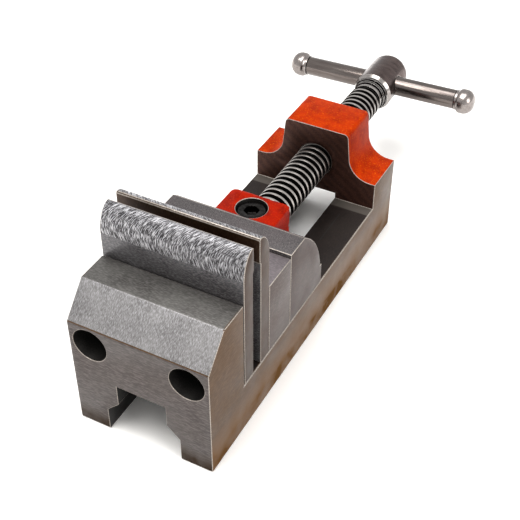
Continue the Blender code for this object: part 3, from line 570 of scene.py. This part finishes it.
# ground rod: fine streaks along a warm grey, with long sharp reflections
bar_steel = hardware("polished_steel", "#706965", "#5c5451", 0.2, 0.4 * MM, (20, 1, 1))
# turned and polished: round bright reflections of the whole room
knob_steel = hardware("knob_steel", "#918a87", "#7f7875", 0.24, 1.5 * MM)
# turned, then browned by hands: a darker and warmer mirror than the bar
head_steel = hardware("turned_steel", "#5f524f", "#453a38", 0.26, 2.2 * MM, (2, 1, 2))
# turned bright and seldom touched: the palest metal, with streaks round it
neck_steel = hardware("neck_steel", "#a5a09d", "#857f7c", 0.18, 0.5 * MM, (6, 1, 6))
# painted highlight: thin bright lines on the edges left by the lathe tool
edge_highlight_steel = hardware("edge_highlight_steel", "#c9c4c0", "#aaa5a1", 0.22, 1.0 * MM)
# plain milled steel: an even grey for pieces that nobody sees
plain_steel = hardware("plain_steel", "#8f8a85", "#77726d", 0.35, 1.5 * MM)
print("seven hardware finishes are ready")

# %% [markdown]
# The lead screw is plain steel too, but its roots are painted dark as shade and its crests carry a
# painted highlight. The distance from the screw's own axis chooses between the two, so no face
# has to be picked by hand.

# %% Finish of the thread
root_radius = 5.3 * MM
crest_radius = 6.8 * MM
crest_highlight_from = root_radius + 0.9 * (crest_radius - root_radius)


def thread_metal(name, root, grease, crest):
    """Steel painted dark as shade at the thread's root, with a painted highlight at its crest."""
    made, tree, shader, coords = start_material(name, 0.32, 0.95)
    across = add_node(tree, "ShaderNodeMapping", {
        "Vector": coords, "Location": (0, 0, -screw_height), "Scale": (1, 0, 1)}).outputs[0]
    from_axis = add_node(tree, "ShaderNodeVectorMath", {0: across}, operation="LENGTH").outputs["Value"]
    # painted shade as the dark base at the root, and a painted highlight towards the crest
    colour = lay_over(tree, linear(root), grain(tree, coords, 1.5 * MM), 0.35, 0.7, grease)
    colour = lay_over(tree, colour, from_axis, crest_highlight_from, crest_radius, crest)
    tree.links.new(colour, shader.inputs["Base Color"])
    return made


# cut thread: roots painted black as shade and crests painted bright as a highlight, which read as stripes
# from afar
thread_steel = thread_metal("thread_steel", "#141212", "#2c2a29", "#aaa5a1")
print("thread finish ready")

# %% [markdown]
# ## Castings and plates with worn edges and painted highlights
# No machined edge stays sharp: it is broken with a file and then rubbed bright. The packed
# pieces already have the right shape, so each is copied, its loose triangles are merged into
# flat faces, and a narrow bevel runs along its sharp edges. The bevel's faces are given the
# second finish of the piece, which is the bright one: part wear and part painted highlight.


# %% Break and smooth edges
def alone(piece):
    """Only this piece is selected and active."""
    bpy.ops.object.select_all(action="DESELECT")
    piece.select_set(True)
    bpy.context.view_layer.objects.active = piece


def break_edges(piece, width, finish=1, angle=35):
    """Bevels the edges that are sharper than an angle; the bevel gets a finish by its number."""
    alone(piece)
    bevel = piece.modifiers.new("broken_edge", "BEVEL")
    bevel.width = width
    bevel.segments = 2
    bevel.limit_method = "ANGLE"
    bevel.angle_limit = math.radians(angle)
    bevel.use_clamp_overlap = False
    bevel.material = finish
    bpy.ops.object.modifier_apply(modifier=bevel.name)


def smooth(piece, angle=35):
    """Shades a piece smooth, apart from the edges sharper than an angle."""
    alone(piece)
    bpy.ops.object.shade_smooth_by_angle(angle=math.radians(angle))


# %% Hand a piece over to its node
def set_finishes(piece, finishes):
    """The piece's only finishes, in this order."""
    piece.data.materials.clear()
    for finish in finishes:
        piece.data.materials.append(finish)


def hand_over(piece, body, node):
    """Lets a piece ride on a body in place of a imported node."""
    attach(piece, body)
    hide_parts(node)
    print(piece.name, len(piece.data.polygons), "faces")


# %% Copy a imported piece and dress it
def merge_triangles(piece):
    """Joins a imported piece's loose triangles into whole flat faces."""
    bpy.ops.object.mode_set(mode="EDIT")
    bpy.ops.mesh.select_all(action="SELECT")
    bpy.ops.mesh.customdata_custom_splitnormals_clear()
    bpy.ops.mesh.remove_doubles(threshold=0.002 * MM)
    bpy.ops.mesh.dissolve_limited(angle_limit=math.radians(0.6))
    bpy.ops.object.mode_set(mode="OBJECT")
    for face in piece.data.polygons:
        face.material_index = 0


def dress(node, body, finishes, edge_width):
    """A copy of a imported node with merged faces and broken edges, in the node's place."""
    alone(frame["nodes"][node])
    bpy.ops.object.duplicate()
    piece = bpy.context.object
    piece.name = node + "_dressed"
    piece.parent = None
    del piece["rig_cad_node"]
    set_finishes(piece, finishes)
    merge_triangles(piece)
    break_edges(piece, edge_width)
    smooth(piece)
    hand_over(piece, body, node)
    return piece


# %% [markdown]
# Each face is picked for its finish by its place and by the way it looks, as a hand would point
# at it. Face numbers would be shorter, but they change with every new model.


# %% Give faces their finish
square_on = 0.9  # a face looks along an axis when its normal has more than this share on it


def finish_faces(piece, finish, wanted, over=(), half_width=math.inf):
    """Gives one of the piece's finishes to the faces that a test picks by middle and normal.

    Only faces with a finish in over are changed, or else those with the piece's first finish,
    and only where no corner lies farther from the middle plane than the half width.
    """
    finishes = list(piece.data.materials)
    changeable = [finishes.index(one) for one in over] or [0]
    count = 0
    for face in piece.data.polygons:
        widest = max(abs(piece.data.vertices[v].co.x) for v in face.vertices)
        if face.material_index in changeable and widest < half_width and wanted(face.center, face.normal):
            face.material_index = finishes.index(finish)
            count += 1
    print("  finish", finish.name, "on", count, "faces")


# %% [markdown]
# ## Body
# One iron casting, ground on the outside. Its bores and its channel are painted dark as shade, the
# inner face of the rear block is milled, and the red enamel covers the block's top and the scoops beside it.

# %% Body
body_edge = 0.16 * MM
body = dress("base_body", "base", [iron_side, edge_wear_and_highlight, iron_front, iron_slope, iron_ledge, iron_bed,
                                   shaded_recess_iron, iron_milled, block_enamel], body_edge)
rear_block_from = rear_block_front - 1 * MM
bores_from, bores_half, bores_top = front_face + 0.3 * MM, 24 * MM, bed_height + 24 * MM
channel_half, channel_top = 14 * MM, bed_height + 3 * MM
paint_bottom, paint_half = shoulder_height - 0.2 * MM, body_half - 0.4 * MM
nut_bore_radius = 7.2 * MM


# %% Tests that pick the body's faces
def on_slope(at, facing):
    """On the front block's slope, which looks forward and up."""
    return -0.8 < facing.y < -0.6 and facing.z > 0.6 and at.y < rear_block_from


def in_jaw_bore(at, facing):
    """Inside the two bores of the front block."""
    return (bores_from < at.y < rear_block_from and abs(at.x) < bores_half
            and at.z < bores_top and abs(facing.y) < 0.5)


def in_channel(at, facing):
    """Inside the slot of the bed or the channel under it."""
    return abs(at.x) < channel_half and at.z < channel_top and abs(facing.y) < 0.5


def is_painted(at, facing):
    """On the rear block's top or scoops, and not in its bore."""
    from_axis = math.hypot(at.x, at.z - screw_height)
    return (at.y > rear_block_from and at.z > paint_bottom and abs(facing.y) < 0.5
            and abs(at.x) < paint_half and from_axis > nut_bore_radius)


# %% Give the body's faces their finish
finish_faces(body, iron_front, lambda at, facing: facing.y < -square_on and at.y < rear_block_from)
finish_faces(body, iron_slope, on_slope)
finish_faces(body, iron_ledge, lambda at, facing: facing.z > square_on and at.z > ledge_height - 1 * MM)
finish_faces(body, iron_bed, lambda at, facing: facing.z > square_on and abs(at.z - bed_height) < 0.5 * MM)
# painted shade: the bores and the channel get the dark finish of the recesses
finish_faces(body, shaded_recess_iron, in_jaw_bore)
finish_faces(body, shaded_recess_iron, in_channel)
finish_faces(body, iron_milled, lambda at, facing: facing.y < -square_on and at.y > rear_block_from)
finish_faces(body, iron_front, lambda at, facing: facing.y > square_on and at.y > rear_block_from)
finish_faces(body, block_enamel, is_painted)

# %% [markdown]
# ## Jaws
# Two plates with swept crowns face each other. The moving one stands on a spacer and on the
# sliding jaw, whose boss is painted and has a counterbore for the cap screw that holds it down.

# %% Jaw plates
plate_edge = 0.2 * MM
crown_height = 9.5 * MM
for node, body_name, inward in (("fixed_jaw_plate", "base", 1), ("moving_jaw_plate", "carriage", -1)):
    plate = dress(node, body_name, [plate_side, edge_wear_and_highlight, plate_back, plate_crown], plate_edge)
    crown_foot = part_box(node)[1].z - crown_height
    finish_faces(plate, plate_back,
                 lambda at, facing: abs(facing.y) > 0.7 and at.z < crown_foot + 1 * MM)
    finish_faces(plate, plate_crown,
                 lambda at, facing: abs(facing.x) < 0.5 and at.z > crown_foot and facing.y * inward < 0.5)

# %% Spacer and moving jaw
spacer = dress("jaw_spacer", "carriage", [spacer_side, edge_wear_and_highlight, spacer_top], plate_edge)
finish_faces(spacer, spacer_top, lambda at, facing: facing.z > square_on)
jaw = dress("moving_jaw", "carriage", [jaw_side, edge_wear_and_highlight, jaw_top, boss_enamel, shaded_recess_iron], plate_edge)
boss_half = 11.7 * MM
flat_end = front_face + 63.6 * MM
hold_down = Vector((0, front_face + 73.6 * MM))
counterbore_radius = 6.3 * MM
counterbore_floor = 39 * MM
jaw_top_from = bed_height + 2 * MM


# %% Tests that pick the moving jaw's faces
def on_boss(at, facing):
    """Behind the flat part of the jaw and above the bed, whichever way the face looks."""
    return at.y > flat_end and at.z > bed_height


def off_counterbore(at, facing):
    """On the boss, but not on the rim of its counterbore."""
    return on_boss(at, facing) and (at.xy - hold_down).length > counterbore_radius


def in_counterbore(at, facing):
    """On the wall of the boss's counterbore."""
    return ((at.xy - hold_down).length < counterbore_radius and abs(facing.z) < 0.5
            and at.z > counterbore_floor)


# %% Give the moving jaw's faces their finish
finish_faces(jaw, jaw_top, lambda at, facing: abs(facing.x) < 0.5 and at.z > jaw_top_from)
finish_faces(jaw, boss_enamel, on_boss, (jaw_side, jaw_top), boss_half)
finish_faces(jaw, boss_enamel, off_counterbore, (edge_wear_and_highlight,), boss_half)
# painted shade: the counterbore's wall and the jaw's underside get the dark finish of the recesses
finish_faces(jaw, shaded_recess_iron, in_counterbore, (jaw_side, jaw_top, boss_enamel))
finish_faces(jaw, shaded_recess_iron, lambda at, facing: at.z < bed_height,
             (jaw_side, edge_wear_and_highlight, jaw_top, boss_enamel))

# %% [markdown]
# ## Turned pieces
# Round pieces come off a lathe, and they are modelled the same way: a disc is extruded from
# station to station and scaled to each radius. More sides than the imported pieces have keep
# their outline round. A small bevel on the steps catches the light as a turned edge does.


# %% Turn a piece
def turn(name, stations, sides=64):
    """A closed piece along Z through the origin; stations are (height, radius)."""
    low, radius = stations[0]
    bpy.ops.object.select_all(action="DESELECT")
    bpy.ops.mesh.primitive_circle_add(vertices=sides, radius=radius, fill_type="NGON", location=(0, 0, low))
    piece = bpy.context.object
    piece.name = name
    bpy.ops.object.transform_apply(location=True, rotation=True, scale=True)
    bpy.ops.object.mode_set(mode="EDIT")
    bpy.ops.mesh.select_all(action="SELECT")
    for height, new_radius in stations[1:]:
        bpy.ops.mesh.extrude_region_move(TRANSFORM_OT_translate={"value": (0, 0, height - low)})
        if abs(new_radius - radius) > 1e-9:
            size = new_radius / radius
            bpy.ops.transform.resize(value=(size, size, 1), center_override=(0, 0, height))
        low, radius = height, new_radius
    bpy.ops.mesh.select_all(action="SELECT")
    bpy.ops.mesh.normals_make_consistent(inside=False)
    bpy.ops.object.mode_set(mode="OBJECT")
    return piece


def dome(start, end, count=10):
    """Stations on a quarter of an ellipse that leaves start upright and reaches end flat."""
    (low, wide), (high, narrow) = start, end
    angles = [math.pi / 2 * i / count for i in range(count + 1)]
    return [(low + (high - low) * math.sin(a), narrow + (wide - narrow) * math.cos(a)) for a in angles]


# %% Place and cut a piece
def place(piece, location, rotation):
    """Puts a piece in its place in the vise, then moves that place into its mesh."""
    piece.location = location
    piece.rotation_euler = rotation
    alone(piece)
    bpy.ops.object.transform_apply(location=True, rotation=True, scale=True)


def cut(piece, cutter):
    """Cuts the cutter's shape out of a piece and removes the cutter."""
    alone(piece)
    step = piece.modifiers.new("cut", "BOOLEAN")
    step.operation = "DIFFERENCE"
    step.solver = "EXACT"
    step.object = cutter
    bpy.ops.object.modifier_apply(modifier=step.name)
    bpy.data.objects.remove(cutter, do_unlink=True)


# %% [markdown]
# ## Lead screw
# The blank is turned first: nose, groove, root of the thread, neck, two rings and the head with
# its domed end. Stations are counted from where the thread starts. Each ring has a fine groove
# of its own, as a lathe hand cuts them to please the eye. The bar's hole is drilled last.

# %% Outline of the blank
nose_tip = -5.6 * MM
nose_radius, nose_corner = 4.0 * MM, 0.3 * MM
groove_front, groove_rear, groove_radius = nose_tip + 1.4 * MM, nose_tip + 3.6 * MM, 2.6 * MM
thread_end = 91.5 * MM
neck_end, neck_radius = thread_end + 1.7 * MM, 6.35 * MM
ring_step, gap_width, gap_radius = 2.0 * MM, 0.7 * MM, 5.9 * MM
head_front = 98.4 * MM
head_rear = head_front + 21.4 * MM
head_radius = 8.2 * MM
dome_length, dome_flat = 4.2 * MM, 4.0 * MM
ring_radii = (6.7 * MM, 7.25 * MM)
fine_start, fine_end, fine_depth, fine_rise = 1.2 * MM, 1.5 * MM, 0.4 * MM, 0.15 * MM
blank = [(nose_tip, nose_radius - nose_corner), (nose_tip + nose_corner, nose_radius),
         (groove_front, nose_radius), (groove_front, groove_radius), (groove_rear, groove_radius),
         (groove_rear, nose_radius), (0, nose_radius), (0, root_radius), (thread_end, root_radius),
         (thread_end, neck_radius), (neck_end, neck_radius)]
for number, radius in enumerate(ring_radii):
    low = neck_end + number * ring_step
    fine_front, fine_rear, rear_radius = low + fine_start, low + fine_end, radius + fine_rise
    blank += [(low, gap_radius), (low + gap_width, gap_radius), (low + gap_width, radius),
              (fine_front, radius), (fine_front, radius - fine_depth), (fine_rear, radius - fine_depth),
              (fine_rear, rear_radius), (low + ring_step, rear_radius)]
blank += [(head_front, head_radius)]
blank += dome((head_rear - dome_length, head_radius), (head_rear, dome_flat))
print("the blank has", len(blank), "stations")

# %% Blank of the lead screw
bar_setback = 8.9 * MM
bar_hole_radius = 4.4 * MM
edge_number = 1  # the place of edge_highlight_steel among the screw's finishes
lead_screw = turn("lead_screw_turned", blank, 72)
bpy.ops.mesh.primitive_cylinder_add(vertices=48, radius=bar_hole_radius, depth=30 * MM)
bar_hole = bpy.context.object
place(bar_hole, (0, 0, head_front + bar_setback), (0, math.pi / 2, 0))
cut(lead_screw, bar_hole)
lead_screw.data.materials.append(thread_steel)
lead_screw.data.materials.append(edge_highlight_steel)
break_edges(lead_screw, 0.13 * MM, edge_number, 40)
print("blank", len(lead_screw.data.polygons), "faces")

# %% [markdown]
# One tooth of the thread, a section with four corners, is swept along the helix by the Screw
# modifier, as the cutting tool travels along the blank. The tooth reaches a little into the
# root, so that no slit shows between them. Its last turn sinks back into the root, where the
# tool was drawn out.

# %% Tooth of the thread
pitch = 3.0 * MM
turns = 30
crest_width = 0.34 * pitch
flank = 0.15 * pitch
sunk = 0.5 * MM
lead_in = 0.45 * MM
bpy.ops.object.select_all(action="DESELECT")
bpy.ops.mesh.primitive_plane_add(size=1.0, location=(0, 0, 0))
tooth = bpy.context.object
tooth.name = "thread_tooth"
corners = [(root_radius - sunk, 0.0), (crest_radius, flank), (crest_radius, flank + crest_width),
           (root_radius - sunk, 2 * flank + crest_width)]
for number, (radius, height) in zip((0, 1, 3, 2), corners):
    tooth.data.vertices[number].co = (radius, 0.0, height + lead_in)
bpy.ops.object.mode_set(mode="EDIT")
bpy.ops.mesh.select_all(action="SELECT")
bpy.ops.mesh.delete(type="ONLY_FACE")
bpy.ops.object.mode_set(mode="OBJECT")
print("the tooth is", round((2 * flank + crest_width) / MM, 2), "mm wide at its foot")

# %% Sweep the tooth along the helix
sweep = tooth.modifiers.new("sweep", "SCREW")
sweep.axis = "Z"
sweep.screw_offset = pitch
sweep.iterations = turns
sweep.steps = sweep.render_steps = 48
sweep.use_merge_vertices = False
bpy.ops.object.modifier_apply(modifier=sweep.name)
bpy.ops.object.mode_set(mode="EDIT")
bpy.ops.mesh.select_all(action="SELECT")
bpy.ops.mesh.fill_holes(sides=4)
bpy.ops.mesh.select_all(action="SELECT")
bpy.ops.mesh.normals_make_consistent(inside=False)
bpy.ops.object.mode_set(mode="OBJECT")
run_out = (turns - 0.1) * pitch
drawn_out = crest_radius - root_radius + 0.2 * MM
for vertex in tooth.data.vertices:
    reach = math.hypot(vertex.co.x, vertex.co.y)
    share = min(1.0, max(0.0, (vertex.co.z - run_out) / pitch))
    if reach > root_radius and share > 0:
        kept = (reach - share * drawn_out) / reach
        vertex.co.x *= kept
        vertex.co.y *= kept
tooth.data.materials.append(thread_steel)
break_edges(tooth, 0.12 * MM, 0, 30)
print("thread", len(tooth.data.polygons), "faces")

# %% [markdown]
# Blank and thread become one piece, as they are one on the real screw. The thread's finish ends
# where the neck begins: behind it the grooves are painted black as shade, the rings are bright,
# and the head is darker steel with a painted highlight on its edges.

# %% Join and finish the lead screw
alone(lead_screw)
tooth.select_set(True)
bpy.ops.object.join()
smooth(lead_screw, 30)
place(lead_screw, (0, thread_start, screw_height), (-math.pi / 2, 0, 0))
# the bevel faces on the screw's edges carry a painted highlight
on_edge = [face.material_index == edge_number for face in lead_screw.data.polygons]
screw_finishes = [thread_steel, edge_highlight_steel, neck_steel, head_steel, black_oxide]
set_finishes(lead_screw, screw_finishes)
hand_over(lead_screw, "screw", "lead_screw")
for face, is_edge in zip(lead_screw.data.polygons, on_edge):
    station = face.center.y - thread_start
    from_axis = math.hypot(face.center.x, face.center.z - screw_height)
    if station < thread_end - 0.2 * MM:
        finish = thread_steel
    elif station < head_front - 0.05 * MM:
        # painted shade: the neck's grooves get the black finish
        in_shaded_groove = abs(face.normal.y) > 0.8 or from_axis < gap_radius + 0.2 * MM
        finish = black_oxide if in_shaded_groove else edge_highlight_steel if is_edge else neck_steel
    else:
        finish = edge_highlight_steel if is_edge else head_steel
    face.material_index = screw_finishes.index(finish)
print("edges on the lead screw:", sum(on_edge), "faces")

# %% [markdown]
# ## Sliding bar
# The bar is a plain rod with a knob screwed on each end. It lies in the head with a slight tilt,
# its right end up. The knob has a short neck, swells to a round shoulder and ends in a dome.

# %% Bar
half_length = 41.6 * MM
knob_foot = half_length - 7.6 * MM
bar_end = knob_foot - 0.3 * MM
bar_radius = 4.0 * MM
bar = turn("handle_bar_turned", [(-bar_end, bar_radius), (bar_end, bar_radius)])
break_edges(bar, 0.2 * MM, 0, 40)
smooth(bar)
along_bar = (0, math.pi / 2 - handle_tilt, 0)
against_bar = (0, -math.pi / 2 - handle_tilt, 0)
handle_place = (0, handle_station, screw_height)
place(bar, handle_place, along_bar)
set_finishes(bar, [bar_steel])
hand_over(bar, "handle", "handle_bar")

# %% Knobs
knob_neck, knob_radius, knob_tip = 4.2 * MM, 5.15 * MM, 1.2 * MM
knob_dome = 4.0 * MM
knob_shape = [(knob_foot, knob_neck), (knob_foot + 0.8 * MM, knob_neck), (knob_foot + 1.2 * MM, 4.7 * MM),
              (knob_foot + 1.9 * MM, 5.1 * MM), (knob_foot + 2.6 * MM, knob_radius)]
knob_shape += dome((half_length - knob_dome, knob_radius), (half_length, knob_tip), 12)
for word, rotation in (("right", along_bar), ("left", against_bar)):
    knob = turn("handle_knob_" + word + "_turned", knob_shape)
    smooth(knob, 40)
    place(knob, handle_place, rotation)
    set_finishes(knob, [knob_steel])
    hand_over(knob, "handle", "handle_knob_" + word)

# %% [markdown]
# ## Cap screws
# A cap screw is a shank under a cylinder with a hexagon socket. All five come from one function,
# and a small table holds what differs: the body they ride on, the head, the shank, the key, and
# the way the head looks. Each screw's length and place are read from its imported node's box.


# %% Turn a cap screw
corner = 0.5 * MM
socket_depth = 2.8 * MM


def cap_screw(node, body_name, head, head_height, shank, key, outward, rotation):
    """A cap screw in place of a node; its head looks outward."""
    low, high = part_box(node)
    reach = abs((high - low) @ outward)
    seat = (low + high) / 2 + (reach / 2 - head_height) * outward
    length = reach - head_height
    shape = [(-length, shank / 2 - corner), (-length + corner, shank / 2), (0, shank / 2), (0, head / 2),
             (head_height - corner, head / 2), (head_height, head / 2 - corner)]
    screw = turn(node + "_turned", shape, 48)
    bpy.ops.mesh.primitive_cylinder_add(vertices=6, radius=key / math.sqrt(3), depth=2 * socket_depth,
                                        location=(0, 0, head_height))
    cut(screw, bpy.context.object)
    break_edges(screw, 0.12 * MM, 0, 40)
    smooth(screw)
    place(screw, seat, rotation)
    set_finishes(screw, [black_oxide])
    hand_over(screw, body_name, node)


# %% Cap screws
to_front, to_rear, to_top = Vector((0, -1, 0)), Vector((0, 1, 0)), Vector((0, 0, 1))
screw_kinds = {  # body, head, head height, shank, key, way the head looks, turn from upright
    "fixed_jaw_screw": ("base", 11.9 * MM, 7.9 * MM, 7.9 * MM, 6.3 * MM, to_front, (math.pi / 2, 0, 0)),
    "moving_jaw_screw": ("carriage", 10.0 * MM, 6.0 * MM, 6.0 * MM, 5.0 * MM, to_rear, (-math.pi / 2, 0, 0)),
    "hold_down_screw": ("carriage", 10.7 * MM, 5.1 * MM, 6.0 * MM, 5.0 * MM, to_top, (0, 0, 0)),
}
for node in sorted(frame["nodes"]):
    for kind, settings in screw_kinds.items():
        if node.startswith(kind):
            cap_screw(node, *settings)

# %% [markdown]
# ## Hidden pieces
# The keeper, its dowels, the retaining pins and the thrust washer sit inside or under the vise.
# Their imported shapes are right, so they only get a plain steel finish.

# %% Finish the hidden pieces
for node in ("keeper_plate", "keeper_dowel_front", "keeper_dowel_rear", "retaining_pin_lower",
             "retaining_pin_upper", "thrust_washer"):
    set_finishes(frame["nodes"][node], [plain_steel])
print("hidden pieces finished")
